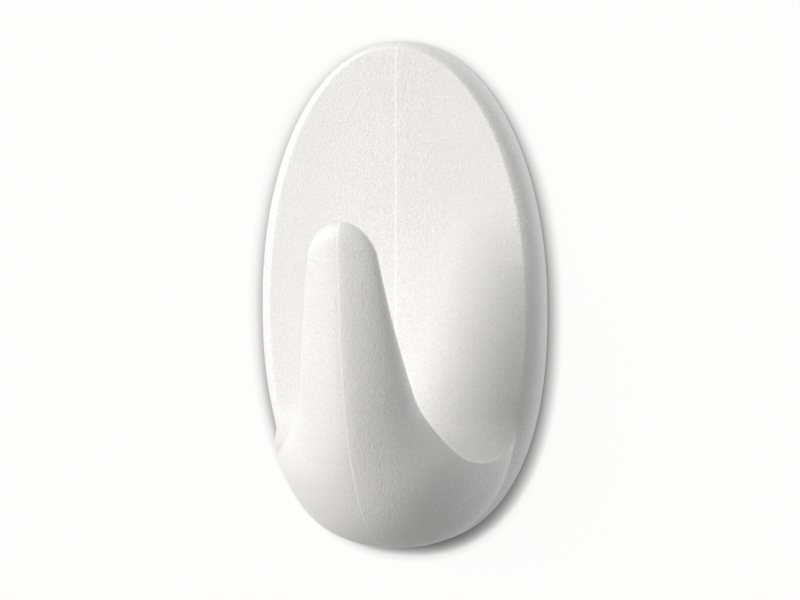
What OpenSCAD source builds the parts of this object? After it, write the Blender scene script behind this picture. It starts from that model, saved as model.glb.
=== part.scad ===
// Oval wall hook on a stretch-release adhesive strip.
// Millimetres. X is to the right seen from the front and Z is up.
// The front faces -Y and the wall is the plane Y = 0.
// The origin is the centre of the bonded face of the strip.
// Depths (_d) are measured from the wall, heights from the widest line of the oval.

/* [Cover outline] */
// Full width of the oval
cover_w = 38.8; // [35:0.1:44]
// Height of the oval above its widest line
upper_h = 34.25; // [30:0.25:40]
// Height of the oval below its widest line
lower_h = 30.8; // [29:0.1:34]
// Squareness of the upper half of the oval, 2 being an ellipse
upper_sq = 2.09; // [1.95:0.01:2.4]
// Squareness of the lower half of the oval
lower_sq = 2.35; // [2.1:0.01:2.6]

/* [Cover face] */
// Gap between the rim of the cover and the wall
rim_d = 0.8; // [0.75:0.05:1]
// Depth of the crease around the face, at its widest
crease_d = 3.95; // [3.5:0.05:4.05]
// Depth of the crest line down the middle of the face
crest_d = 4.2; // [4.1:0.05:4.8]
// Distance from the outline in to the crease at the sides
inset_side = 1.9; // [1.4:0.05:2.4]
// Distance from the outline in to the crease at the top
inset_top = 0.75; // [0.4:0.05:1.6]
// Distance from the outline in to the crease toward the bottom
inset_low = 1.3; // [0.9:0.05:1.8]
// Fall of the wall band just outside the crease, in degrees
band_fall = 24; // [10:1:45]

/* [Trough] */
// Radius of the trough between face and prong
throat_r = 5.1; // [4.5:0.1:5.7]
// Distance of the trough's floor below the widest line
floor_drop = 18.25; // [17.5:0.05:19]
// Fall of the trough's floor from its middle to its lip
lip_floor = 0.2; // [0.1:0.05:0.8]
// Rounding of the lips, higher being tighter
lip_round = 2.4; // [2:0.1:4]

/* [Prong] */
// Height of the prong's tip above the widest line
tip_rise = 12.9; // [8:0.1:18]
// Forward lean of the prong's back at its foot, in degrees
foot_lean = 30; // [24:0.5:36]
// Depth from the wall to the front of the prong's tip
reach = 25.6; // [24.6:0.1:27]
// Half width of the prong at its tip
tip_half_w = 3.95; // [3.2:0.05:4.8]
// Widening of the half width per millimetre down the prong
prong_taper = 0.159; // [0.1:0.001:0.2]
// Thickness of the prong at its tip
tip_thick = 2.85; // [2.2:0.05:4]
// Thickness of the prong at its foot
foot_thick = 7.2; // [6:0.05:8.4]
// Fall of the prong's back from its middle to its edges
prong_bow = 1.2; // [0.6:0.1:2]
// Length of the rounded tip
dome_len = 4.2; // [3:0.1:6]
// Sharpness of the ridge down the prong, 0 being fully round
ridge_share = 0.3; // [0:0.01:0.4]

/* [Base plate] */
// Width of the plate's front at its bottom end
plate_w = 23; // [21.5:0.1:24]
// Height of the plate
plate_h = 35; // [34:0.5:37]
// Thickness of the plate
plate_t = 1.5; // [1.2:0.05:1.6]
// Distance of the plate's bottom end below the widest line
plate_drop = 14; // [13:0.1:15]
// Undercut of each side of the plate toward the wall
undercut = 1.5; // [1:0.05:1.8]
// Narrowing of each side from the bottom end to the top end
wedge = 0.5; // [0.2:0.05:0.8]
// Chamfer on the corners of the top end
lead_in = 1.5; // [0.5:0.1:3]
// Height of each tongue, and the lift that frees the cover
lift = 10; // [8:0.1:10.4]

/* [Adhesive strip] */
// Width of the strip
strip_w = 18; // [15:0.1:18.8]
// Thickness of the strip
strip_t = 0.6; // [0.5:0.05:0.65]
// Distance of the finger tab's end above the bottom of the oval
tab_short = 3.4; // [2.8:0.1:6]
// Width of the finger tab
tab_w = 16; // [12:0.1:17]
// Thickness of each film on the tab
film_t = 0.1; // [0.05:0.01:0.15]

/* [Shell] */
// Thickness of the cover's rim wall
rim_wall = 1.7; // [1.4:0.05:2.2]
// Width of the rails at their foot
rail_w = 2.2; // [1.8:0.05:2.6]
// Thickness of the stop above the plate
stop_wall = 1.8; // [1.2:0.1:3]
// Radius of the core pocket behind the trough
core_r = 7.2; // [5:0.1:7.6]
// Wall between the trough's floor and the core pocket
core_roof = 2; // [1.6:0.1:2.6]

/* [Fit] */
// Gap between the plate and the cover's channel
slide_gap = 0.15; // [0.1:0.01:0.25]
// Gap between the plate's top end and the cover's stop
stop_gap = 0.1; // [0.05:0.01:0.2]
// Gap between a rail's end and the end of its tongue
rail_gap = 0.3; // [0.2:0.05:0.6]

/* [Smoothness] */
// Steps along each upper side of the oval
side_steps = 40; // [24:1:48]
// Steps around the trough
throat_steps = 16; // [10:1:20]
// Steps along the prong
prong_steps = 14; // [8:1:18]
// Steps over the prong's rounded tip
dome_steps = 7; // [5:1:9]
// Steps across half of the trough
inner_steps = 7; // [5:1:9]
// Steps around half of the underside
flank_steps = 18; // [12:1:20]
// Steps down the wall band
band_steps = 5; // [4:1:6]

/* [Hidden] */
$fn = 48;
// height of the origin above the widest line
origin_z = plate_h / 2 - plate_drop;
tab_len = lower_h - tab_short - plate_drop;
plate_top = plate_h - plate_drop;
plate_front_d = strip_t + plate_t;
channel_d = plate_front_d + slide_gap;
wedge_angle = atan(wedge / plate_h);
// overshoot of a cut past the surface it opens
over = 1;
// distance farther than any part reaches
far = 120;

// the crease and the face
half_w = cover_w / 2;
crease_w = half_w - inset_side;
face_slope = (crest_d - crease_d) / crease_w;
// the underside meets the wall band this far inside the outline
bottom_inset = 0.1;
// shares of the band's width and height over which it bends at the crease, at the rim and below the trough
crease_bend = 0.55;
rim_bend = 0.6;
low_bend = 0.4;
// how fast the band turns flush with the underside, and its top nears the outline, below the trough's ends
flush_pow = 0.35;
near_pow = 4;

// the trough: a round of throat_r, then one long round up the prong's back
throat_d = crest_d + throat_r;
throat_z = throat_r - floor_drop;
foot_d = throat_d + throat_r * cos(foot_lean);
foot_z = throat_z - throat_r * sin(foot_lean);
tip_d = reach - tip_thick;
// forward lean of the prong's back at its tip
tip_lean = 2 * atan((tip_d - foot_d) / (tip_rise - foot_z)) - foot_lean;
back_r = (tip_rise - foot_z) / (sin(foot_lean) - sin(tip_lean));
back_d = foot_d - back_r * cos(foot_lean);
back_z = foot_z + back_r * sin(foot_lean);
// degrees of a circle for each radius of length along it
radian = 180 / PI;
round_len = throat_r * (180 - foot_lean) / radian;
back_len = back_r * (foot_lean - tip_lean) / radian;
whole_len = round_len + back_len;

// angle on the oval at which the crease meets the trough
end_phi = -asin(pow(-throat_z / (lower_h - inset_low), lower_sq / 2));
end_w = crease_w * lifted(cos(end_phi), lower_sq);
end_d = crest_d - face_slope * end_w;

// the ridge: two curves that meet in front of the prong's foot
foot_dir = 20;
ridge_lean = 25;
bottom_full = 0.46;
foot_full = 0.36;
prong_full = 0.315;
ridge_a = [end_d, bottom_inset - lower_h];
ridge_m = [foot_d, foot_z] + foot_thick * [cos(foot_dir), -sin(foot_dir)];
ridge_b = [reach, tip_rise];
ridge_up = [sin(ridge_lean), cos(ridge_lean)];
tip_up = [sin(tip_lean), cos(tip_lean)];
low_chord = norm(ridge_m - ridge_a);
high_chord = norm(ridge_b - ridge_m);
// share and power of the ridge's hurry around the bottom
ridge_ease = 0.4;
ridge_pow = 1.6;

// the widening of the prong into the trough, along the trough from the prong's foot
flare_from = -11.7;
flare_to = 7.4;
// sections of the underside below the trough's floor and along the prong
floor_angle = 30;
floor_sq = 2;
prong_sq = 2;
// shares of the trough's round over which the section changes from the face to the floor
lip_span = 0.53;
under_span = 0.6;
round_span = 0.8;
ease_span = 0.45;
// shares of the trough's round at which it starts to change to the prong, and over which it does
bow_from = 0.53;
bow_span = 0.6;
slim_from = 0.8;
slim_span = 0.9;

function smooth(t) = let (u = min(max(t, 0), 1)) u * u * (3 - 2 * u);
function mix(a, b, t) = a + (b - a) * t;
function lifted(s, p) = sign(s) * pow(abs(s), 2 / p);
function bezier(a, b, c, d, t) =
    a * pow(1 - t, 3) + 3 * b * t * pow(1 - t, 2) + 3 * c * t * t * (1 - t) + d * pow(t, 3);
function flip(p) = [-p[0], p[1], p[2]];

// points are [x, depth, height] up to the last step
function half_h(phi) = phi >= 0 ? upper_h : lower_h;
function square_of(phi) = phi >= 0 ? upper_sq : lower_sq;
function rim_pt(phi) =
    [half_w * lifted(cos(phi), square_of(phi)), rim_d, half_h(phi) * lifted(sin(phi), square_of(phi))];
function crease_pt(phi) = let (
        x = crease_w * lifted(cos(phi), square_of(phi)),
        h = half_h(phi) - (phi >= 0 ? inset_top : inset_low)
    ) [x, crest_d - face_slope * x, h * lifted(sin(phi), square_of(phi))];
function outward(phi) = let (
        p = rim_pt(phi),
        q = square_of(phi) - 1,
        h = half_h(phi),
        v = [pow(p[0] / half_w, q) / half_w, 0, sign(p[2]) * pow(abs(p[2]) / h, q) / h]
    ) v / norm(v);
// 0 above the trough's ends, 1 at the bottom
function lowness(phi) = smooth((end_phi - phi) / (end_phi + 90));
// the wall band from the crease point w (t = 0) to the rim (t = 1)
function band_pt(w, phi, t) = let (
        o = rim_pt(phi),
        ins = norm([w[0] - o[0], w[2] - o[2]]),
        roll = crease_bend * ins * (cos(band_fall) * outward(phi) - [0, sin(band_fall), 0]),
        a = w + mix(roll, low_bend * (o - w), pow(lowness(phi), flush_pow))
    ) bezier(w, a, o + [0, rim_bend * (w[1] - o[1]), 0], o, t);
// top of the band below the trough's ends, u from 0 at an end to 1 at the bottom
function aside(n) = [-n[2], 0, n[0]];
function low_top(u) = let (
        phi = mix(end_phi, -90, u),
        n = outward(phi),
        m = outward(end_phi),
        off = crease_pt(end_phi) - rim_pt(end_phi),
        near = pow(1 - u, near_pow),
        q = rim_pt(phi) + mix(-bottom_inset, off * m, near) * n + near * (off * aside(m)) * aside(n)
    ) [q[0], end_d, q[2]];

// direction into the material at a length along the trough, and the trough's middle there
function throat_n(s) = let (
        a = s <= round_len ? 180 + s / throat_r * radian : (s - round_len) / back_r * radian - foot_lean
    ) [0, cos(a), sin(a)];
function throat_pt(s) = s <= round_len
    ? [0, throat_d, throat_z] + throat_r * throat_n(s)
    : [0, back_d, back_z] + back_r * throat_n(s);
function ridge_pt(v) = let (
        t = 1 - (1 - v) * (1 - ridge_ease + ridge_ease * pow(1 - v, ridge_pow)),
        q = t < 0.5
            ? bezier(ridge_a, ridge_a + [bottom_full * low_chord, 0],
                     ridge_m - foot_full * low_chord * ridge_up, ridge_m, 2 * t)
            : bezier(ridge_m, ridge_m + prong_full * high_chord * ridge_up,
                     ridge_b - prong_full * high_chord * tip_up, ridge_b, 2 * t - 1)
    ) [0, q[0], q[1]];

// share of the way across and down a quarter of the underside's section
function quarter_x(a, a0, p) = pow(max(0, cos(a)) / cos(a0), 2 / p);
function quarter_y(a, a0, p) = let (s0 = pow(sin(a0), 2 / p)) 1 - (pow(sin(a), 2 / p) - s0) / (1 - s0);

// shift from the plain quarter at the trough's end to the top of the band
function spread(u) = let (
        a = mix(-end_phi, 90, u),
        y = quarter_y(a, -end_phi, lower_sq),
        plain = [end_w * quarter_x(a, -end_phi, lower_sq), end_d, mix(ridge_a[1], throat_z, y)]
    ) low_top(u) - plain;

inner_x = [for (i = [0:inner_steps]) sin(90 * i / inner_steps)];
lengths = [
    for (i = [0:throat_steps]) round_len * i / throat_steps,
    for (i = [1:prong_steps]) mix(round_len, whole_len - dome_len, i / prong_steps),
    for (i = [1:dome_steps - 1]) whole_len - dome_len + dome_len * sin(90 * i / dome_steps)
];

// one closed section: lip, underside, other lip, trough
function section(s) = let (
        along = s - round_len,
        straight_w = tip_half_w + prong_taper * (back_len - along),
        w = mix(end_w, straight_w, smooth((along - flare_from) / (flare_to - flare_from))),
        turn = s / round_len,
        fall = mix(mix(face_slope * end_w, lip_floor, smooth(turn / lip_span)),
                   prong_bow, smooth((turn - bow_from) / bow_span)),
        bow = smooth(turn / round_span),
        ease = 1 - smooth(turn / ease_span),
        c = throat_pt(s),
        n = throat_n(s),
        k = c + fall * n,
        o = ridge_pt(s / whole_len),
        f1 = smooth(turn / under_span),
        f2 = smooth((turn - slim_from) / slim_span),
        a0 = mix(mix(-end_phi, floor_angle, f1), 0, f2),
        p = mix(mix(lower_sq, floor_sq, f1), prong_sq, f2),
        v = max(0, (s - whole_len + dome_len) / dome_len),
        m = (c + o) / 2,
        sx = sqrt(max(0, 1 - pow(v, 2))),
        sd = sqrt(max(0, 1 - pow(v, 3))),
        flank = [for (j = [0:flank_steps]) let (
                a = mix(a0, 90, j / flank_steps),
                x = quarter_x(a, a0, p),
                y = mix(quarter_y(a, a0, p), x, ridge_share * f2),
                q = o + (k - o) * y
            ) [w * x, q[1], q[2]] + ease * spread(j / flank_steps)],
        inner = [for (x = inner_x) let (
                y = mix(x, 1 - pow(1 - pow(x, lip_round), 1 / lip_round), bow)
            ) c + fall * y * n + [w * x, 0, 0]],
        ring = [
            each flank,
            for (j = [flank_steps - 1:-1:0]) flip(flank[j]),
            for (j = [inner_steps - 1:-1:0]) flip(inner[j]),
            for (j = [1:inner_steps - 1]) inner[j]
        ]
    ) [for (q = ring) [q[0] * sx, m[1] + (q[1] - m[1]) * sd, m[2] + (q[2] - m[2]) * sd]];

// The skin: sections up the prong, the crease around the face, and the band down to the rim.
sections = [for (s = lengths) section(s)];
n_sec = len(sections);
n_loop = 2 * (flank_steps + inner_steps);
n_ring = 2 * (flank_steps + side_steps);
up_phi = [for (k = [0:side_steps - 1]) mix(90, end_phi, k / side_steps)];
low_phi = [for (j = [0:flank_steps]) mix(end_phi, -90, j / flank_steps)];
// the angle on the oval at each ring place, counted from the top down the right side and up the left
half_phi = concat(up_phi, low_phi);
function ring_phi(k) = half_phi[min(k, n_ring - k)];
function ring_side(k, p) = k <= n_ring / 2 ? p : flip(p);
function ring_top(k) = let (j = min(k, n_ring - k))
    j < side_steps ? crease_pt(half_phi[j]) : sections[0][j - side_steps];

tip_at = n_sec * n_loop;
crease_at = tip_at + 1;
band_at = crease_at + n_ring;
function loop_i(i, m) = i * n_loop + (m + n_loop) % n_loop;
function low_place(k) = k >= side_steps && k <= n_ring - side_steps;
function top_i(k) = low_place(k) ? k - side_steps : crease_at + k;
function band_i(t, k) = t == 0 ? top_i(k % n_ring) : band_at + (t - 1) * n_ring + k % n_ring;

tip_pt = (throat_pt(whole_len) + ridge_pt(1)) / 2;
skin = [
    for (s = sections) each s,
    tip_pt,
    for (k = [0:n_ring - 1]) ring_side(k, ring_top(k)),
    for (t = [1:band_steps], k = [0:n_ring - 1])
        ring_side(k, band_pt(ring_top(k), ring_phi(k), t / band_steps))
];
// two triangles of a four-cornered patch, cut so that left and right mirror each other
function patch(a, b, c, d, mirrored) = mirrored ? [[a, b, d], [b, c, d]] : [[a, b, c], [a, c, d]];
mid_in = 2 * flank_steps + inner_steps;
faces = [
    for (i = [0:n_sec - 2], m = [0:n_loop - 1])
        each patch(loop_i(i, m), loop_i(i, m + 1), loop_i(i + 1, m + 1), loop_i(i + 1, m),
                   m >= flank_steps && m < mid_in),
    for (m = [0:n_loop - 1]) [loop_i(n_sec - 1, m), loop_i(n_sec - 1, m + 1), tip_at],
    for (t = [0:band_steps - 1], k = [0:n_ring - 1])
        each patch(band_i(t, k), band_i(t + 1, k), band_i(t + 1, k + 1), band_i(t, k + 1), k >= n_ring / 2),
    [for (k = [0:side_steps]) top_i(k), for (m = [n_loop - 1:-1:mid_in]) m],
    [top_i(0), for (m = [mid_in:-1:2 * flank_steps]) m,
        for (k = [n_ring - side_steps + 1:n_ring - 1]) top_i(k)],
    [for (k = [n_ring - 1:-1:0]) band_i(band_steps, k)]
];
function placed(p) = [p[0], -p[1], p[2] - origin_z];

module skin_body() {
    polyhedron([for (p = skin) placed(p)], faces, convexity = 6);
}

// a flat shape in [x, height] raised from one depth to another
module raised(d0, d1) {
    translate([0, -d0, -origin_z]) rotate([90, 0, 0]) linear_extrude(d1 - d0) children();
}

// a block from its depths, half width and heights
module block(half, d0, d1, z0, z1) {
    translate([-half, -d1, z0 - origin_z]) cube([2 * half, d1 - d0, z1 - z0]);
}

// one side of the dovetail: everything left of a flank that leans in toward the top
module dovetail_side(gap, d1) {
    flank = [[-undercut, 0], [-undercut, -strip_t], [0, -plate_front_d], [0, -d1]];
    translate([plate_w / 2 + gap, 0, -plate_drop - origin_z]) rotate([0, -wedge_angle, 0])
        translate([0, 0, -far]) linear_extrude(2 * far)
            polygon([[-far, 0], each flank, [-far, -d1]]);
}

// the plate's full section, with both flanks
module dovetail(gap, d1) {
    intersection() {
        dovetail_side(gap, d1);
        mirror([1, 0, 0]) dovetail_side(gap, d1);
    }
}

// the oval drawn in by the rim wall
module inner_oval() {
    up = [for (k = [0:side_steps]) mix(90, 0, k / side_steps)];
    down = [for (k = [1:side_steps]) mix(0, -90, k / side_steps)];
    side = [for (phi = concat(up, down)) let (p = rim_pt(phi) - rim_wall * outward(phi)) [p[0], p[2]]];
    polygon([each side, for (k = [len(side) - 2:-1:1]) [-side[k][0], side[k][1]]]);
}

rail_out = plate_w / 2 + slide_gap + rail_w;
neck = plate_w / 2 - undercut - wedge;
// lower ends of the two tongues
tongues = [plate_top - lift, plate_top - 3 * lift];
// the core's axis below the trough's floor, and its depth past the crest in trough radii
core_sink = 0.6;
core_reach = 1.5;
core_z = -floor_drop - core_sink;
core_d = crest_d + core_reach * throat_r;

// a pair of blocks to the left and right of the neck
module side_blocks(half, d0, d1, z0, z1) {
    difference() {
        block(half, d0, d1, z0, z1);
        block(neck, d0 - over, d1 + over, z0 - over, z1 + over);
    }
}

module hook_cover() {
    color([0.95, 0.95, 0.94]) difference() {
        skin_body();
        // hollow of the back, leaving the rails and the stop
        difference() {
            raised(rim_d - over, channel_d) inner_oval();
            difference() {
                for (z = tongues) {
                    side_blocks(rail_out, rim_d, channel_d + over, z + rail_gap, z + lift - rail_gap);
                }
                dovetail(slide_gap, channel_d);
            }
            translate([0, 0, plate_top + stop_gap])
                block(plate_w / 2, rim_d, channel_d + over, 0, stop_wall);
        }
        // core behind the trough
        intersection() {
            raised(channel_d - over, core_d) translate([0, core_z]) circle(core_r);
            block(far, 0, far, -far, -floor_drop - core_roof);
        }
    }
}

module base_plate() {
    color([0.88, 0.89, 0.9]) difference() {
        intersection() {
            dovetail(0, plate_front_d);
            block(far, strip_t, plate_front_d, -plate_drop, plate_top);
        }
        side_blocks(far, 0, far, -plate_drop - over, tongues[1]);
        side_blocks(far, 0, far, tongues[1] + lift, tongues[0]);
        for (s = [-1, 1]) {
            translate([s * (plate_w / 2 - wedge), 0, plate_top - origin_z]) rotate([0, 45, 0])
                cube([lead_in * sqrt(2), far, lead_in * sqrt(2)], center = true);
        }
    }
}

// the finger tab's outline, with a round end
module tab_shape() {
    end_r = tab_w / 4;
    bottom = -plate_drop - tab_len;
    translate([-tab_w / 2, bottom + end_r]) square([tab_w, tab_len - end_r]);
    translate([end_r - tab_w / 2, bottom]) square([tab_w - 2 * end_r, tab_len]);
    for (s = [-1, 1]) translate([s * (tab_w / 2 - end_r), bottom + end_r]) circle(end_r);
}

module adhesive_strip() {
    color([0.8, 0.82, 0.84]) union() {
        block(strip_w / 2, 0, strip_t, -plate_drop, plate_top);
        raised(film_t, strip_t - film_t) union() {
            tab_shape();
            translate([-tab_w / 2, -plate_drop - over]) square([tab_w, 2 * over]);
        }
    }
}

module tab_film_front() {
    color([0.55, 0.72, 0.85]) raised(strip_t - film_t, strip_t) tab_shape();
}

module tab_film_back() {
    color([0.55, 0.72, 0.85]) raised(0, film_t) tab_shape();
}

hook_cover();
base_plate();
adhesive_strip();
tab_film_front();
tab_film_back();
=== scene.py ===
"""Looks of the adhesive wall hook: fine skin of the cover, materials, wall, light and camera."""

import math

import bmesh
import bpy
import numpy as np
from mathutils import Matrix, Vector


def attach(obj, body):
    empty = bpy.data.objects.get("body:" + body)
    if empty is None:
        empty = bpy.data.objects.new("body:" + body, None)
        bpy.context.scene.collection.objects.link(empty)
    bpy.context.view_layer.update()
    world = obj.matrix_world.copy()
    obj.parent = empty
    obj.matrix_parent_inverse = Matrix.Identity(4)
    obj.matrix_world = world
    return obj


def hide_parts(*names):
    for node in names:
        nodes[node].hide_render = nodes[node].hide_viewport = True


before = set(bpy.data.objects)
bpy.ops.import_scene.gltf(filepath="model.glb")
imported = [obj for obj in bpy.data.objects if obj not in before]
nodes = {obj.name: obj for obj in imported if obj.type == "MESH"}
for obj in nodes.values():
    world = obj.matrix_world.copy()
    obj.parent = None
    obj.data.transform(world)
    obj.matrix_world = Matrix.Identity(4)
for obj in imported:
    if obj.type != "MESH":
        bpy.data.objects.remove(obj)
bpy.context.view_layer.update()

MM = 0.001

# Driving sizes of the cover in mm, as in the part's source. Depths are measured from the wall,
# heights from the widest line of the oval.
HALF_W = 19.4
UPPER_H, LOWER_H = 34.25, 30.8
UPPER_SQ, LOWER_SQ = 2.09, 2.35
RIM_D, CREASE_D, CREST_D = 0.8, 3.95, 4.2
INSET_SIDE, INSET_TOP, INSET_LOW, INSET_BOTTOM = 1.9, 0.75, 1.3, 0.1
BAND_FALL = 24.0
CREASE_BEND, RIM_BEND, LOW_BEND = 0.55, 0.6, 0.4
FLUSH_POW, NEAR_POW = 0.35, 4.0
THROAT_R, FLOOR_DROP = 5.1, 18.25
LIP_FLOOR, LIP_ROUND = 0.2, 2.4
TIP_RISE, FOOT_LEAN, REACH = 12.9, 30.0, 25.6
TIP_HALF_W, PRONG_TAPER = 3.95, 0.159
TIP_THICK, FOOT_THICK, PRONG_BOW = 2.85, 7.2, 1.2
DOME_LEN, RIDGE_SHARE = 4.2, 0.3
FOOT_DIR, RIDGE_LEAN = 20.0, 25.0
BOTTOM_FULL, FOOT_FULL, PRONG_FULL = 0.46, 0.36, 0.315
RIDGE_EASE, RIDGE_POW = 0.4, 1.6
FLARE_FROM, FLARE_TO = -11.7, 7.4
FLOOR_ANGLE, FLOOR_SQ, PRONG_SQ = 30.0, 2.0, 2.0
LIP_SPAN, UNDER_SPAN, ROUND_SPAN, EASE_SPAN = 0.53, 0.6, 0.8, 0.45
BOW_FROM, BOW_SPAN, SLIM_FROM, SLIM_SPAN = 0.53, 0.6, 0.8, 0.9

# The hollow of the back, its rails, stop and core, in mm.
PLATE_W, PLATE_H, PLATE_T, PLATE_DROP = 23.0, 35.0, 1.5, 14.0
STRIP_T, UNDERCUT, WEDGE, LIFT = 0.6, 1.5, 0.5, 10.0
RIM_WALL, RAIL_W, STOP_WALL = 1.7, 2.2, 1.8
SLIDE_GAP, STOP_GAP, RAIL_GAP = 0.15, 0.1, 0.3
CORE_R, CORE_ROOF, CORE_SINK, CORE_REACH = 7.2, 2.0, 0.6, 1.5

# How far rails and stop reach into the cover's wall.
ROOT = 0.3

# Only in the fine skin: rounding of the prong's ridge, as a share of the half width, and width in
# mm of the strip beside the crease that takes up the change of shading.
RIDGE_SOFT, CREASE_SOFT = 0.22, 0.25
# Steps of the fine skin.
SIDE_STEPS, FLANK_STEPS, BAND_STEPS, FACE_STEPS, CORE_STEPS = 150, 60, 14, 8, 40
THROAT_STEPS, PRONG_STEPS, DOME_STEPS, INNER_STEPS = 44, 50, 18, 22
# Points closer than the first are joined, edges shorter than the second are dropped, in m.
WELD, SLIVER = 2e-6, 1e-7
# Edges over the first angle are shaded as edges, and over the second are rounded, in degrees.
SHARP_ANGLE, ROUND_ANGLE = 28.0, 40.0
# Width in mm of the rounded edges, and their steps.
COVER_EDGE, PLATE_EDGE, EDGE_STEPS = 0.12, 0.15, 2

# Cover plastic: clouding, a painted highlight in a thin line down its middle, grain, gloss and slow
# waves. Sizes in mm.
COVER_DARK, COVER_LIGHT, COVER_CLOUD = (0.845, 0.843, 0.834), (0.87, 0.868, 0.86), 9.0
# Painted highlight down the crest: half width in mm, its colour, and how far the surface must face
# the front to show it.
HIGHLIGHT_HALF_W, HIGHLIGHT_COLOUR, HIGHLIGHT_FACING = 0.09, (0.95, 0.95, 0.94), -0.1
GRAIN_MM, GRAIN_DEPTH, GRAIN_TONE = 0.27, 0.085, 0.065
COVER_ROUGH, COVER_IOR = (0.42, 0.54), 1.46
WAVE_MM, WAVE_DEPTH = 6.0, 0.03
# Plate plastic: clouding, grain and gloss.
PLATE_DARK, PLATE_LIGHT, PLATE_CLOUD = (0.7, 0.71, 0.72), (0.76, 0.77, 0.78), 5.0
PLATE_GRAIN, PLATE_GRAIN_DEPTH, PLATE_ROUGH = 0.2, 0.01, (0.42, 0.55)
# Strip: pores and gloss.
STRIP_DARK, STRIP_LIGHT = (0.6, 0.62, 0.63), (0.72, 0.73, 0.73)
PORE_MM, PORE_DEPTH, STRIP_ROUGH = 0.5, 0.03, (0.35, 0.6)
# Film: clouding, soft creases and gloss.
FILM_DARK, FILM_LIGHT, FILM_CLOUD = (0.33, 0.5, 0.66), (0.4, 0.57, 0.72), 3.0
FOLD_MM, FOLD_DEPTH, FILM_ROUGH = 1.8, 0.03, (0.22, 0.32)
# Range of a noise's values that is spread over a ramp.
NOISE_LOW, NOISE_HIGH = 0.3, 0.7

# Wall: half size in m, distance behind the strip, paint, own brightness, share of true shadow.
WALL_HALF, WALL_BEHIND_MM = 1.2, 0.05
WALL_COLOUR, WALL_TINT, WALL_WHITE = (0.97, 0.97, 0.965), (1.0, 1.0, 0.997), 0.985
WALL_SHADOW = 0.02
# Painted contact shade on the wall, darkening its glow near the hook: reach in mm, power, and the
# direction in which it is felt for.
CONTACT = ((2.1, 3.3, (0.05, -0.8, 1.7)), (2.9, 1.2, (0.8, -0.3, 1.6)))
CONTACT_SAMPLES = 32

# Lamps: strength, softness, angle to the left of the front and angle up, in degrees.
LAMPS = {"key": (2.24, 28.0, 45.0, 7.0), "high": (1.01, 34.0, 50.0, 28.0)}
LAMP_COLOUR = (1.0, 0.992, 0.98)
# Surroundings: directions that light comes from, and its strength there.
SKY = (
    ((0.8, 0.0, 0.6), 0.38),
    ((0.66, 0.75, 0.0), 0.27),
    ((0.577, 0.577, 0.577), 0.42),
    ((0.1, 0.55, 0.83), 0.3),
    ((-0.3, -0.5, -0.81), 0.21),
)
SKY_COLOUR = (0.99, 0.995, 1.0)
# Rays that see the white background.
WHITE_RAYS = ("Is Camera Ray", "Is Glossy Ray", "Is Transmission Ray")

# Camera: azimuth and elevation in degrees, distance and scale, fitted to the photograph's outline.
AZIMUTH, ELEVATION = 20.0, 5.85
DISTANCE_MM, PX_PER_MM = 600.0, 7.74
IMAGE_W, IMAGE_H = 800, 600
# Where the middle of the oval's widest line falls in the image.
MIDDLE_PX = (404.7, 306.8)
SENSOR_MM = 36.0
NEAR_M, FAR_M = 0.01, 20.0

ORIGIN_Z = PLATE_H / 2 - PLATE_DROP
PLATE_TOP = PLATE_H - PLATE_DROP
PLATE_FRONT_D = STRIP_T + PLATE_T
CHANNEL_D = PLATE_FRONT_D + SLIDE_GAP


def smooth(t):
    """Smooth step from 0 to 1."""
    u = min(max(t, 0.0), 1.0)
    return u * u * (3 - 2 * u)


def mix(a, b, t):
    """Value t of the way from a to b."""
    return a + (b - a) * t


def lifted(s, p):
    """A sine or cosine turned into a superellipse coordinate of squareness p."""
    return math.copysign(abs(s) ** (2 / p), s)


def bezier(a, b, c, d, t):
    """Point of a cubic curve."""
    return a * (1 - t) ** 3 + 3 * b * t * (1 - t) ** 2 + 3 * c * t * t * (1 - t) + d * t ** 3


def quarter(a, a0, p):
    """Shares of the way across and down a quarter of the underside's section.

    The angle a runs from a0 to a right angle, and p is the squareness.
    """
    s0 = math.sin(a0) ** (2 / p)
    across = (max(math.cos(a), 0) / math.cos(a0)) ** (2 / p)
    return across, 1 - (math.sin(a) ** (2 / p) - s0) / (1 - s0)


def softened(x):
    """A share from 0 to 1 with a rounded start, so that mirrored halves meet without an edge."""
    return (math.hypot(x, RIDGE_SOFT) - RIDGE_SOFT) / (math.hypot(1, RIDGE_SOFT) - RIDGE_SOFT)


def leaning(angle):
    """Unit direction in (depth, height) that leans forward from upright by an angle in degrees."""
    return np.array([math.sin(math.radians(angle)), math.cos(math.radians(angle))])


def aside(n):
    """A direction of the wall plane turned a quarter."""
    return np.array([-n[2], 0, n[0]])


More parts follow.
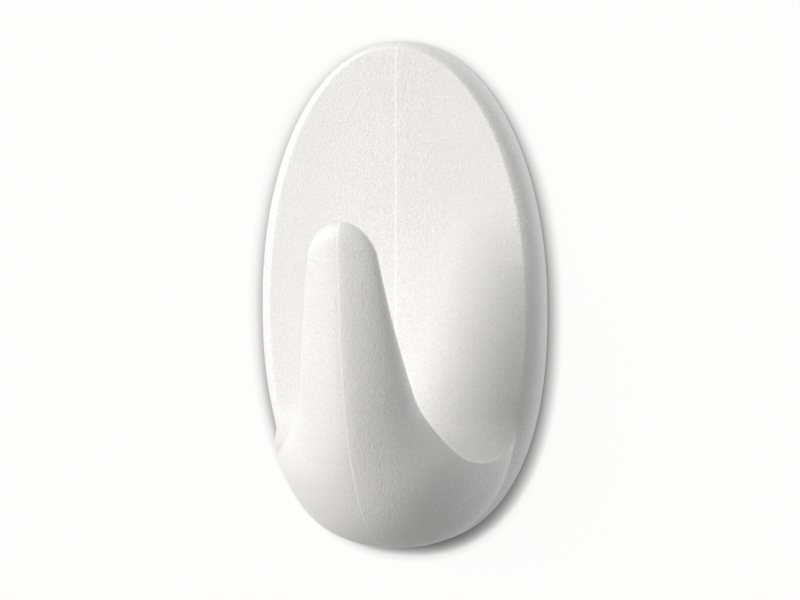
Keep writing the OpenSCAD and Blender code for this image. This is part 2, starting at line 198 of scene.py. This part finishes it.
class Loft:
    """The cover's outer skin. Points are (x, depth, height) in mm."""

    def __init__(self):
        self.crease_w = HALF_W - INSET_SIDE
        self.slope = (CREST_D - CREASE_D) / self.crease_w
        foot = math.radians(FOOT_LEAN)
        self.round_mid = np.array([CREST_D + THROAT_R, THROAT_R - FLOOR_DROP])
        foot_pt = self.round_mid + THROAT_R * np.array([math.cos(foot), -math.sin(foot)])
        rise = TIP_RISE - foot_pt[1]
        tip = 2 * math.atan((REACH - TIP_THICK - foot_pt[0]) / rise) - foot
        self.back_r = rise / (math.sin(foot) - math.sin(tip))
        self.back_mid = foot_pt + self.back_r * np.array([-math.cos(foot), math.sin(foot)])
        self.foot = foot
        self.round_len = THROAT_R * (math.pi - foot)
        self.back_len = self.back_r * (foot - tip)
        self.length = self.round_len + self.back_len
        share = -self.round_mid[1] / (LOWER_H - INSET_LOW)
        self.end_phi = -math.asin(share ** (LOWER_SQ / 2))
        self.end = self.crease(self.end_phi)
        start = np.array([self.end[1], INSET_BOTTOM - LOWER_H])
        down = math.radians(FOOT_DIR)
        middle = foot_pt + FOOT_THICK * np.array([math.cos(down), -math.sin(down)])
        end = np.array([REACH, TIP_RISE])
        low, high = np.linalg.norm(middle - start), np.linalg.norm(end - middle)
        lean, tip_up = leaning(RIDGE_LEAN), leaning(math.degrees(tip))
        out, full = np.array([BOTTOM_FULL * low, 0]), PRONG_FULL * high
        self.ridge_low = (start, start + out, middle - FOOT_FULL * low * lean, middle)
        self.ridge_high = (middle, middle + full * lean, end - full * tip_up, end)

    def rim(self, phi):
        """The outline at the wall side."""
        h, p = (UPPER_H, UPPER_SQ) if phi >= 0 else (LOWER_H, LOWER_SQ)
        x = HALF_W * lifted(max(math.cos(phi), 0), p)
        return np.array([x, RIM_D, h * lifted(math.sin(phi), p)])

    def outward(self, phi):
        """Unit normal of the outline."""
        h, p = (UPPER_H, UPPER_SQ) if phi >= 0 else (LOWER_H, LOWER_SQ)
        x, _, z = self.rim(phi)
        nx, nz = (abs(x) / HALF_W) ** (p - 1) / HALF_W, (abs(z) / h) ** (p - 1) / h
        n = np.array([nx, 0, math.copysign(nz, z)])
        return n / np.linalg.norm(n)

    def crease(self, phi):
        """The edge of the face, above the ends of the trough."""
        h, p = (UPPER_H - INSET_TOP, UPPER_SQ) if phi >= 0 else (LOWER_H - INSET_LOW, LOWER_SQ)
        x = self.crease_w * lifted(max(math.cos(phi), 0), p)
        return np.array([x, CREST_D - self.slope * x, h * lifted(math.sin(phi), p)])

    def low_top(self, u):
        """Top of the band below the trough's ends, u from 0 at an end to 1 at the bottom."""
        phi = mix(self.end_phi, -math.pi / 2, u)
        n, m = self.outward(phi), self.outward(self.end_phi)
        off = self.end - self.rim(self.end_phi)
        near = (1 - u) ** NEAR_POW
        q = self.rim(phi) + mix(-INSET_BOTTOM, off @ m, near) * n
        q = q + near * (off @ aside(m)) * aside(n)
        return np.array([q[0], self.end[1], q[2]])

    def spread(self, u):
        """Shift from the plain quarter at the trough's end to the top of the band."""
        a0 = -self.end_phi
        across, down = quarter(mix(a0, math.pi / 2, u), a0, LOWER_SQ)
        height = mix(INSET_BOTTOM - LOWER_H, self.end[2], down)
        return self.low_top(u) - np.array([self.end[0] * across, self.end[1], height])

    def band(self, top, phi, t):
        """The wall band from a point of the crease (t 0) to the rim (t 1)."""
        rim = self.rim(phi)
        low = smooth((self.end_phi - phi) / (self.end_phi + math.pi / 2))
        inset, fall = math.hypot(top[0] - rim[0], top[2] - rim[2]), math.radians(BAND_FALL)
        over = math.cos(fall) * self.outward(phi) - np.array([0, math.sin(fall), 0])
        near_top = top + mix(CREASE_BEND * inset * over, LOW_BEND * (rim - top), low ** FLUSH_POW)
        return bezier(top, near_top, rim + np.array([0, RIM_BEND * (top[1] - rim[1]), 0]), rim, t)

    def throat(self, s):
        """Middle of the trough at length s along it, and the direction into the material."""
        if s <= self.round_len:
            a, mid, r = math.pi + s / THROAT_R, self.round_mid, THROAT_R
        else:
            a, mid, r = (s - self.round_len) / self.back_r - self.foot, self.back_mid, self.back_r
        n = np.array([0, math.cos(a), math.sin(a)])
        return np.array([0, *mid]) + r * n, n

    def ridge(self, v):
        """Front of the hook's middle section, from its bottom (v 0) to the prong's tip (v 1)."""
        t = 1 - (1 - v) * (1 - RIDGE_EASE + RIDGE_EASE * (1 - v) ** RIDGE_POW)
        q = bezier(*self.ridge_low, 2 * t) if t < 0.5 else bezier(*self.ridge_high, 2 * t - 1)
        return np.array([0, *q])

    def section(self, s):
        """Right half of a section at length s along the trough.

        Two rows of points: the trough from the middle out, the underside from the lip to the ridge.
        """
        along, turn = s - self.round_len, s / self.round_len
        straight = TIP_HALF_W + PRONG_TAPER * (self.back_len - along)
        w = mix(self.end[0], straight, smooth((along - FLARE_FROM) / (FLARE_TO - FLARE_FROM)))
        fall = mix(self.slope * self.end[0], LIP_FLOOR, smooth(turn / LIP_SPAN))
        fall = mix(fall, PRONG_BOW, smooth((turn - BOW_FROM) / BOW_SPAN))
        bow, ease = smooth(turn / ROUND_SPAN), 1 - smooth(turn / EASE_SPAN)
        mid, n = self.throat(s)
        lip, ridge = mid + fall * n, self.ridge(s / self.length)
        under, slim = smooth(turn / UNDER_SPAN), smooth((turn - SLIM_FROM) / SLIM_SPAN)
        a0 = mix(mix(-self.end_phi, math.radians(FLOOR_ANGLE), under), 0, slim)
        p = mix(mix(LOWER_SQ, FLOOR_SQ, under), PRONG_SQ, slim)
        inner = []
        for i in range(INNER_STEPS + 1):
            x = math.sin(math.pi / 2 * i / INNER_STEPS)
            y = mix(x, 1 - max(1 - x ** LIP_ROUND, 0) ** (1 / LIP_ROUND), bow)
            inner.append(mid + fall * y * n + np.array([w * x, 0, 0]))
        flank = []
        for j in range(FLANK_STEPS + 1):
            u = j / FLANK_STEPS
            x, y = quarter(mix(a0, math.pi / 2, u), a0, p)
            q = ridge + (lip - ridge) * mix(y, softened(x), RIDGE_SHARE * slim)
            flank.append(np.array([w * x, q[1], q[2]]) + ease * self.spread(u))
        v = max(0.0, (s - self.length + DOME_LEN) / DOME_LEN)
        centre = (mid + ridge) / 2
        side, depth = math.sqrt(max(1 - v ** 2, 0)), math.sqrt(max(1 - v ** 3, 0))
        close = np.array([side, depth, depth])
        return [[centre + (q - centre) * close for q in row] for row in (inner, flank)]

    def lengths(self):
        """Where along the trough the sections stand."""
        start = self.length - DOME_LEN
        rows = [self.round_len * i / THROAT_STEPS for i in range(THROAT_STEPS)]
        rows += [mix(self.round_len, start, i / PRONG_STEPS) for i in range(PRONG_STEPS)]
        turns = [math.pi / 2 * i / DOME_STEPS for i in range(DOME_STEPS + 1)]
        return rows + [start + DOME_LEN * math.sin(a) for a in turns]


def placed(p):
    """A point (x, depth, height) in mm, in the shared frame in metres."""
    return Vector((p[0] * MM, -p[1] * MM, (p[2] - ORIGIN_Z) * MM))


def add_grid(bm, rows):
    """Quads between rows of points, for the right half and its mirror image."""
    for side in (1, -1):
        verts = [[bm.verts.new(placed((side * p[0], p[1], p[2]))) for p in row] for row in rows]
        for upper, lower in zip(verts, verts[1:]):
            for i in range(len(upper) - 1):
                corners = (upper[i], upper[i + 1], lower[i + 1], lower[i])
                bm.faces.new(corners if side > 0 else corners[::-1])


def add_prism(bm, low, high):
    """A closed solid between two outlines of as many points."""
    rings = [[bm.verts.new(placed(p)) for p in ring] for ring in (low, high)]
    n = len(low)
    for i in range(n):
        j = (i + 1) % n
        bm.faces.new((rings[0][i], rings[0][j], rings[1][j], rings[1][i]))
    bm.faces.new(rings[0][::-1])
    bm.faces.new(rings[1])


def rail_outline(z):
    """Section of a right-hand rail at a height, its inner flank parallel to the plate's tongue."""
    outer = PLATE_W / 2 + SLIDE_GAP + RAIL_W
    flank = PLATE_W / 2 + SLIDE_GAP - (z + PLATE_DROP) * WEDGE / PLATE_H
    lean = UNDERCUT / PLATE_T
    inner = flank - (PLATE_FRONT_D - RIM_D) * lean
    sunk = CHANNEL_D + ROOT
    corners = ((inner, RIM_D), (flank, PLATE_FRONT_D), (flank, sunk), (outer, sunk), (outer, RIM_D))
    return [(x, d, z) for x, d in corners]


def add_front(bm, loft, up, down):
    """Face, band, trough and underside. Angles run above (up) and below (down) the trough's ends."""
    sections = [loft.section(s) for s in loft.lengths()]
    creases = [loft.crease(phi) for phi in up]
    face = []
    for edge in creases[:-1]:
        inner = edge[0] - min(CREASE_SOFT, edge[0] / FACE_STEPS)
        across = [inner * i / FACE_STEPS for i in range(FACE_STEPS + 1)] + [edge[0]]
        face.append([np.array([x, CREST_D - loft.slope * x, edge[2]]) for x in across])
    trough_edge = sections[0][0]
    add_grid(bm, face)
    # the last strip of the face, down to the straight start of the trough
    for side in (1, -1):
        upper = [bm.verts.new(placed((side * p[0], p[1], p[2]))) for p in face[-1]]
        lower = [bm.verts.new(placed((side * p[0], p[1], p[2]))) for p in trough_edge]
        loop = upper + lower[::-1]
        bm.faces.new(loop if side > 0 else loop[::-1])

    tops = zip(creases + sections[0][1][1:], up + down)
    shares = [t / BAND_STEPS for t in range(BAND_STEPS + 1)]
    add_grid(bm, [[loft.band(top, phi, t) for t in shares] for top, phi in tops])
    add_grid(bm, [inner for inner, _ in sections])
    add_grid(bm, [flank for _, flank in sections])


def add_back(bm, loft, phis):
    """A flat rim, the wall of the hollow, and its floor with the core."""
    rim = [loft.rim(phi) for phi in phis]
    inner = [loft.rim(phi) - RIM_WALL * loft.outward(phi) for phi in phis]
    floor = [np.array([p[0], CHANNEL_D, p[2]]) for p in inner]
    add_grid(bm, [rim, inner, floor])
    roof = -FLOOR_DROP - CORE_ROOF
    core_z, core_d = -FLOOR_DROP - CORE_SINK, CREST_D + CORE_REACH * THROAT_R
    start = math.asin((core_z - roof) / CORE_R)
    arc = [mix(-start, start - math.pi, i / CORE_STEPS) for i in range(CORE_STEPS + 1)]
    core = [(CORE_R * math.cos(a), core_z + CORE_R * math.sin(a)) for a in arc]
    n_core = len(core)
    mouth = [bm.verts.new(placed((x, CHANNEL_D, z))) for x, z in core]
    end = [bm.verts.new(placed((x, core_d, z))) for x, z in core]
    for i in range(n_core):
        j = (i + 1) % n_core
        bm.faces.new((mouth[i], end[i], end[j], mouth[j]))
    bm.faces.new(end)
    ring = [bm.verts.new(placed(p)) for p in floor]
    ring += [bm.verts.new(placed((-p[0], p[1], p[2]))) for p in floor[-2:0:-1]]
    edges = [bm.edges.new((ring[i], ring[(i + 1) % len(ring)])) for i in range(len(ring))]
    edges += [bm.edges.get((mouth[i], mouth[(i + 1) % n_core])) for i in range(n_core)]
    bmesh.ops.triangle_fill(bm, use_beauty=True, edges=edges)


def add_rails(bm):
    """Two pairs of rails, and the stop above the plate."""
    for tongue in (PLATE_TOP - LIFT, PLATE_TOP - 3 * LIFT):
        ends = [rail_outline(z) for z in (tongue + RAIL_GAP, tongue + LIFT - RAIL_GAP)]
        add_prism(bm, *ends)
        add_prism(bm, *[[(-x, d, z) for x, d, z in outline][::-1] for outline in ends])
    half, sunk = PLATE_W / 2, CHANNEL_D + ROOT
    stop = [(-half, RIM_D), (-half, sunk), (half, sunk), (half, RIM_D)]
    stop_z = (PLATE_TOP + STOP_GAP, PLATE_TOP + STOP_GAP + STOP_WALL)
    add_prism(bm, *[[(x, d, z) for x, d in stop] for z in stop_z])


def build_cover():
    """The moulded cover: fine skin outside, hollow with rails and stop behind."""
    loft = Loft()
    bm = bmesh.new()
    up = [mix(math.pi / 2, loft.end_phi, k / SIDE_STEPS) for k in range(SIDE_STEPS + 1)]
    down = [mix(loft.end_phi, -math.pi / 2, (j + 1) / FLANK_STEPS) for j in range(FLANK_STEPS)]
    add_front(bm, loft, up, down)
    add_back(bm, loft, up + down)
    bmesh.ops.remove_doubles(bm, verts=bm.verts, dist=WELD)
    bmesh.ops.dissolve_degenerate(bm, edges=bm.edges, dist=SLIVER)
    bmesh.ops.recalc_face_normals(bm, faces=bm.faces)
    add_rails(bm)

    mesh = bpy.data.meshes.new("cover_shell")
    bm.to_mesh(mesh)
    bm.free()
    for polygon in mesh.polygons:
        polygon.use_smooth = True
    mesh.set_sharp_from_angle(angle=math.radians(SHARP_ANGLE))
    cover = bpy.data.objects.new("cover_shell", mesh)
    bpy.context.collection.objects.link(cover)
    return cover


def math_node(tree, operation, *values):
    """Result of a Math node in a node tree."""
    node = tree.nodes.new("ShaderNodeMath")
    node.operation = operation
    for socket, value in zip(node.inputs, values):
        if isinstance(value, bpy.types.NodeSocket):
            tree.links.new(value, socket)
        else:
            socket.default_value = value
    return node.outputs[0]


class Shader:
    """A material's node tree, built by short calls."""

    def __init__(self, name):
        self.material = bpy.data.materials.new(name)
        self.material.use_nodes = True
        self.tree = self.material.node_tree
        self.surface = self.tree.nodes["Principled BSDF"]
        self.place = self.add("ShaderNodeTexCoord").outputs["Object"]

    def add(self, kind, **inputs):
        """A node whose inputs are set or linked."""
        node = self.tree.nodes.new(kind)
        for name, value in inputs.items():
            socket = node.inputs[name.replace("_", " ")]
            if isinstance(value, bpy.types.NodeSocket):
                self.tree.links.new(value, socket)
            else:
                socket.default_value = value
        return node

    def link(self, output, name):
        """Joins an output to an input of the surface."""
        self.tree.links.new(output, self.surface.inputs[name])

    def noise(self, size_mm, detail=2.0, rough=0.5):
        """Noise whose features are about that large."""
        scale = 1 / (size_mm * MM)
        node = self.add("ShaderNodeTexNoise", Vector=self.place, Scale=scale, Detail=detail,
                        Roughness=rough)
        return node.outputs["Fac"]

    def ramp(self, value, low=0.0, high=1.0):
        """Noise mapped onto the range low to high."""
        node = self.add("ShaderNodeMapRange", Value=value, From_Min=NOISE_LOW, From_Max=NOISE_HIGH,
                        To_Min=low, To_Max=high)
        return node.outputs["Result"]

    def colours(self, value, first, second):
        """Two colours blended by a value."""
        node = self.tree.nodes.new("ShaderNodeMix")
        node.data_type = "RGBA"
        self.tree.links.new(value, node.inputs["Factor"])
        for socket, colour in ((node.inputs[6], first), (node.inputs[7], second)):
            if isinstance(colour, bpy.types.NodeSocket):
                self.tree.links.new(colour, socket)
            else:
                socket.default_value = (*colour, 1)
        return node.outputs[2]

    def math(self, operation, *values):
        """Result of a Math node."""
        return math_node(self.tree, operation, *values)

    def blend(self, first, second, share):
        """Two shaders mixed, share being the second one's."""
        node = self.tree.nodes.new("ShaderNodeMixShader")
        self.tree.links.new(first, node.inputs[1])
        self.tree.links.new(second, node.inputs[2])
        if isinstance(share, bpy.types.NodeSocket):
            self.tree.links.new(share, node.inputs[0])
        else:
            node.inputs[0].default_value = share
        return node.outputs[0]

    def bump(self, height, depth_mm, below=None):
        """Bump of a height map, on top of another bump if there is one."""
        node = self.add("ShaderNodeBump", Height=height, Strength=1.0, Distance=depth_mm * MM)
        if below is not None:
            self.tree.links.new(below, node.inputs["Normal"])
        return node.outputs["Normal"]


def shaded(colour, share):
    """A colour made lighter or darker."""
    return tuple(c * share for c in colour)


def cover_plastic():
    """White satin moulding with a fine grain and a painted highlight in a thin line down its middle.
    """
    s = Shader("cover_plastic")
    grain = s.noise(GRAIN_MM, 2.0, 0.6)
    cloud = s.ramp(s.noise(COVER_CLOUD, 3.0))
    dark, light = [s.colours(cloud, shaded(COVER_DARK, share), shaded(COVER_LIGHT, share))
                   for share in (1 - GRAIN_TONE, 1 + GRAIN_TONE)]
    body = s.colours(s.ramp(grain), dark, light)
    across = s.add("ShaderNodeSeparateXYZ", Vector=s.place).outputs["X"]
    # Painted highlight: a lighter thin line along the middle, on surfaces that face the front.
    half = HIGHLIGHT_HALF_W * MM
    painted_highlight = s.add("ShaderNodeMapRange", Value=s.math("ABSOLUTE", across), From_Min=half,
                 From_Max=2 * half, To_Min=1.0, To_Max=0.0)
    painted_highlight.interpolation_type = "SMOOTHSTEP"
    normal = s.add("ShaderNodeTexCoord").outputs["Normal"]
    facing = s.add("ShaderNodeSeparateXYZ", Vector=normal).outputs["Y"]
    front = s.math("LESS_THAN", facing, HIGHLIGHT_FACING)
    shown = s.math("MULTIPLY", painted_highlight.outputs["Result"], front)
    s.link(s.colours(shown, body, HIGHLIGHT_COLOUR), "Base Color")
    s.link(s.ramp(grain, *COVER_ROUGH), "Roughness")
    s.surface.inputs["IOR"].default_value = COVER_IOR
    fine = s.bump(grain, GRAIN_DEPTH)
    s.link(s.bump(s.noise(WAVE_MM, 1.0), WAVE_DEPTH, fine), "Normal")
    return s.material


def plate_plastic():
    """Plain moulding of the carrier, a little greyer than the cover."""
    s = Shader("plate_plastic")
    tone = s.ramp(s.noise(PLATE_CLOUD, 3.0))
    s.link(s.colours(tone, PLATE_DARK, PLATE_LIGHT), "Base Color")
    grain = s.noise(PLATE_GRAIN)
    s.link(s.ramp(grain, *PLATE_ROUGH), "Roughness")
    s.link(s.bump(grain, PLATE_GRAIN_DEPTH), "Normal")
    return s.material


def strip_elastomer():
    """Stretchy adhesive: milky, tacky, with fine pores."""
    s = Shader("strip_elastomer")
    pores = s.noise(PORE_MM, 4.0, 0.65)
    s.link(s.colours(s.ramp(pores), STRIP_DARK, STRIP_LIGHT), "Base Color")
    s.link(s.ramp(pores, *STRIP_ROUGH), "Roughness")
    s.link(s.bump(pores, PORE_DEPTH), "Normal")
    return s.material


def tab_film():
    """Thin smooth film with a few soft creases."""
    s = Shader("tab_film")
    cloud = s.noise(FILM_CLOUD)
    s.link(s.colours(s.ramp(cloud), FILM_DARK, FILM_LIGHT), "Base Color")
    s.link(s.ramp(cloud, *FILM_ROUGH), "Roughness")
    s.link(s.bump(s.noise(FOLD_MM, 1.0), FOLD_DEPTH), "Normal")
    return s.material


def dress(obj, material):
    """Gives a piece its one material."""
    obj.data.materials.clear()
    obj.data.materials.append(material)


def soften(obj, width_mm):
    """Rounds the edges of a piece a little."""
    edge = obj.modifiers.new("edge", "BEVEL")
    edge.width = width_mm * MM
    edge.segments = EDGE_STEPS
    edge.limit_method = "ANGLE"
    edge.angle_limit = math.radians(ROUND_ANGLE)
    edge.harden_normals = True


def build_stage():
    """A plain white wall behind the hook, glowing white with painted shade near the hook. Its back
    is clear, and light passes through it.
    """
    mesh = bpy.data.meshes.new("wall")
    corners = [(x * WALL_HALF, 0, z * WALL_HALF) for x, z in ((-1, -1), (1, -1), (1, 1), (-1, 1))]
    mesh.from_pydata(corners, [], [(0, 1, 2, 3)])
    wall = bpy.data.objects.new("wall", mesh)
    wall.location.y = WALL_BEHIND_MM * MM
    bpy.context.collection.objects.link(wall)
    s = Shader("wall_paint")
    paint = s.add("ShaderNodeBsdfDiffuse", Color=(*WALL_COLOUR, 1)).outputs[0]
    # Painted shade: the wall's glow is darkened by ambient occlusion where the hook is near.
    glow = WALL_WHITE
    for reach, power, (x, y, z) in CONTACT:
        way = s.add("ShaderNodeCombineXYZ", X=x, Y=y, Z=z).outputs[0]
        near = s.add("ShaderNodeAmbientOcclusion", Distance=reach * MM, Normal=way)
        near.samples = CONTACT_SAMPLES
        glow = s.math("MULTIPLY", s.math("POWER", near.outputs["AO"], power), glow)
    lit = s.add("ShaderNodeEmission", Color=(*WALL_TINT, 1), Strength=glow).outputs[0]
    front = s.math("SUBTRACT", 1.0, s.add("ShaderNodeNewGeometry").outputs["Backfacing"])
    path, seen = s.add("ShaderNodeLightPath"), 0.0
    for ray in WHITE_RAYS:
        seen = s.math("MAXIMUM", path.outputs[ray], seen)
    seen = s.math("MULTIPLY", seen, front)
    clear = s.add("ShaderNodeBsdfTransparent").outputs[0]
    shown = s.blend(s.blend(lit, paint, WALL_SHADOW), clear, s.math("SUBTRACT", 1.0, seen))
    s.tree.links.new(shown, s.tree.nodes["Material Output"].inputs["Surface"])
    s.tree.nodes.remove(s.surface)
    dress(wall, s.material)


def build_light():
    """Soft lamps from the left, pale surroundings on the other sides."""
    for name, (strength, soft, left, up) in LAMPS.items():
        data = bpy.data.lights.new(name, "SUN")
        data.energy, data.color, data.angle = strength, LAMP_COLOUR, math.radians(soft)
        az, el = math.radians(left), math.radians(up)
        towards = Vector((-math.sin(az) * math.cos(el), -math.cos(az) * math.cos(el), math.sin(el)))
        lamp = bpy.data.objects.new(name, data)
        lamp.rotation_euler = towards.to_track_quat("Z", "Y").to_euler()
        bpy.context.collection.objects.link(lamp)

    world = bpy.data.worlds.new("surroundings")
    bpy.context.scene.world = world
    world.use_nodes = True
    tree = world.node_tree
    back = tree.nodes["Background"]
    back.inputs["Color"].default_value = (*SKY_COLOUR, 1)

    direction = tree.nodes.new("ShaderNodeTexCoord").outputs["Generated"]
    total = 0.0
    for axis, strength in SKY:
        along = tree.nodes.new("ShaderNodeVectorMath")
        along.operation = "DOT_PRODUCT"
        tree.links.new(direction, along.inputs[0])
        along.inputs[1].default_value = axis
        lobe = math_node(tree, "MAXIMUM", along.outputs["Value"], 0.0)
        total = math_node(tree, "ADD", math_node(tree, "MULTIPLY", lobe, strength), total)
    path = tree.nodes.new("ShaderNodeLightPath")
    for ray in WHITE_RAYS:
        total = math_node(tree, "MAXIMUM", total, path.outputs[ray])
    tree.links.new(total, back.inputs["Strength"])


def build_camera():
    """The photograph's view."""
    az, el = math.radians(AZIMUTH), math.radians(ELEVATION)
    back = Vector((math.sin(az) * math.cos(el), -math.cos(az) * math.cos(el), math.sin(el)))
    right = Vector((math.cos(az), math.sin(az), 0))
    up = back.cross(right)
    middle = placed((0, RIM_D, 0))
    off_x = (MIDDLE_PX[0] - IMAGE_W / 2) / PX_PER_MM * MM
    off_y = (MIDDLE_PX[1] - IMAGE_H / 2) / PX_PER_MM * MM
    data = bpy.data.cameras.new("camera")
    data.sensor_width = SENSOR_MM
    data.lens = PX_PER_MM * DISTANCE_MM * SENSOR_MM / IMAGE_W
    data.clip_start, data.clip_end = NEAR_M, FAR_M
    camera = bpy.data.objects.new("camera", data)
    place = middle + back * DISTANCE_MM * MM - right * off_x + up * off_y
    turn = Matrix((right, up, back)).transposed().to_4x4()
    camera.matrix_world = Matrix.Translation(place) @ turn
    bpy.context.collection.objects.link(camera)
    bpy.context.scene.camera = camera


bpy.context.scene.view_settings.view_transform = "Standard"
cover = build_cover()
dress(cover, cover_plastic())
soften(cover, COVER_EDGE)
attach(cover, "hook")
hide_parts("hook_cover")

film = tab_film()
for name, material in (("base_plate", plate_plastic()), ("adhesive_strip", strip_elastomer()),
                       ("tab_film_front", film), ("tab_film_back", film)):
    dress(nodes[name], material)
soften(nodes["base_plate"], PLATE_EDGE)

build_stage()
build_light()
build_camera()
